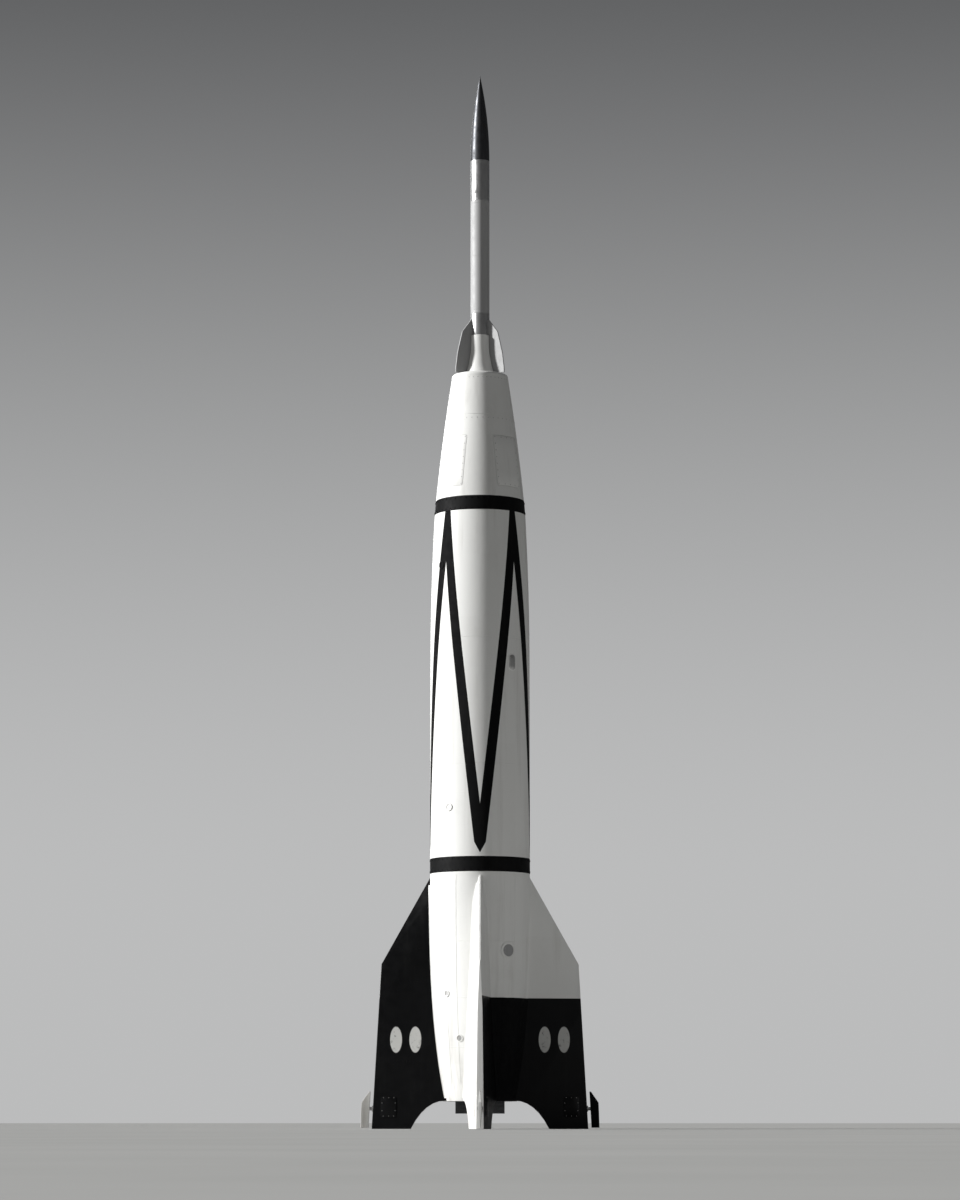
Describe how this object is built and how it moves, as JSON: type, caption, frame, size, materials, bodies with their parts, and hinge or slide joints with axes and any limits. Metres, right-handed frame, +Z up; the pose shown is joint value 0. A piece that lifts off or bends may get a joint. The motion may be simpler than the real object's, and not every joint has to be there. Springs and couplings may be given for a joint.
{
  "type": "two-stage liquid-fuel sounding rocket",
  "caption": "Tall finned booster with a boat tail, black and white pattern and a thin finned second stage in its nose; steering vanes turn and the stage slides out.",
  "frame": {"origin": "on the rocket's axis at the plane of the fins' feet, bottom centre of the object", "axes": "+Z up along the rocket's axis; -Y towards fin 1, the one nearest the camera; +X towards fin 2, on the right of the picture"},
  "size_m": [3.93, 3.93, 17.8],
  "materials": {
    "white_paint": "semi-gloss white paint, lightly weathered",
    "black_paint": "satin black paint",
    "silver_paint": "pale silver-white paint, satin",
    "bare_metal": "bare steel, dull",
    "dark_metal": "heat-darkened steel",
    "graphite": "pressed graphite, matt"
  },
  "bodies": {
    "booster": {"tail_shell": "white_paint", "tail_joint_ring": "black_paint", "bay_joint_ring": "black_paint", "tank_section": "white_paint", "motor_block": "dark_metal", "nozzle_bell": "dark_metal", "base_bulkhead": "bare_metal", "exhaust_pipe_1": "dark_metal", "exhaust_pipe_2": "dark_metal", "aft_ring": "bare_metal", "instrument_bay": "white_paint", "nose_fairing": "white_paint", "nose_cap": "white_paint", "upper_stage_seat": "bare_metal", "fin_1": "white_paint", "fin_2": "black_paint", "fin_3": "white_paint", "fin_4": "black_paint", "bay_hatch_1": "white_paint", "bay_hatch_2": "white_paint", "bay_hatch_3": "white_paint", "bay_hatch_4": "white_paint"},
    "upper_stage": {"upper_tail_section": "silver_paint", "upper_tank_section": "silver_paint", "upper_bay_section": "silver_paint", "upper_nose_cone": "dark_metal", "upper_nozzle": "dark_metal", "upper_fin_1": "silver_paint", "upper_fin_2": "silver_paint", "upper_fin_3": "silver_paint"},
    "air_rudder_1": {"air_rudder_1": "black_paint"},
    "jet_vane_1": {"jet_vane_1": "graphite"},
    "air_rudder_2": {"air_rudder_2": "black_paint"},
    "jet_vane_2": {"jet_vane_2": "graphite"},
    "air_rudder_3": {"air_rudder_3": "black_paint"},
    "jet_vane_3": {"jet_vane_3": "graphite"},
    "air_rudder_4": {"air_rudder_4": "black_paint"},
    "jet_vane_4": {"jet_vane_4": "graphite"}
  },
  "joints": [
    {"name": "stage_separation", "type": "slide", "parent": "booster", "child": "upper_stage", "axis": [0, 0, 1], "range_m": [0, 1.2]},
    {"name": "jet_vane_1_turn", "type": "hinge", "parent": "booster", "child": "jet_vane_1", "pos_m": [0, -0.5, 0.505], "axis": [0, -1, 0], "range_deg": [-25, 25]},
    {"name": "jet_vane_2_turn", "type": "hinge", "parent": "booster", "child": "jet_vane_2", "pos_m": [0.5, 0, 0.505], "axis": [1, 0, 0], "range_deg": [-25, 25]},
    {"name": "jet_vane_3_turn", "type": "hinge", "parent": "booster", "child": "jet_vane_3", "pos_m": [0, 0.5, 0.505], "axis": [0, 1, 0], "range_deg": [-25, 25]},
    {"name": "jet_vane_4_turn", "type": "hinge", "parent": "booster", "child": "jet_vane_4", "pos_m": [-0.5, 0, 0.505], "axis": [-1, 0, 0], "range_deg": [-25, 25]},
    {"name": "air_rudder_1_turn", "type": "hinge", "parent": "booster", "child": "air_rudder_1", "pos_m": [0, -1.8, 0.33], "axis": [0, -1, 0], "range_deg": [-25, 25]},
    {"name": "air_rudder_2_turn", "type": "hinge", "parent": "booster", "child": "air_rudder_2", "pos_m": [1.8, 0, 0.33], "axis": [1, 0, 0], "range_deg": [-25, 25]},
    {"name": "air_rudder_3_turn", "type": "hinge", "parent": "booster", "child": "air_rudder_3", "pos_m": [0, 1.8, 0.33], "axis": [0, 1, 0], "range_deg": [-25, 25]},
    {"name": "air_rudder_4_turn", "type": "hinge", "parent": "booster", "child": "air_rudder_4", "pos_m": [-1.8, 0, 0.33], "axis": [-1, 0, 0], "range_deg": [-25, 25]}
  ],
  "couplings": [
    {"joint": "air_rudder_1_turn", "follows": "jet_vane_1_turn", "ratio": 1},
    {"joint": "air_rudder_2_turn", "follows": "jet_vane_2_turn", "ratio": 1},
    {"joint": "air_rudder_3_turn", "follows": "jet_vane_3_turn", "ratio": 1},
    {"joint": "air_rudder_4_turn", "follows": "jet_vane_4_turn", "ratio": 1}
  ]
}
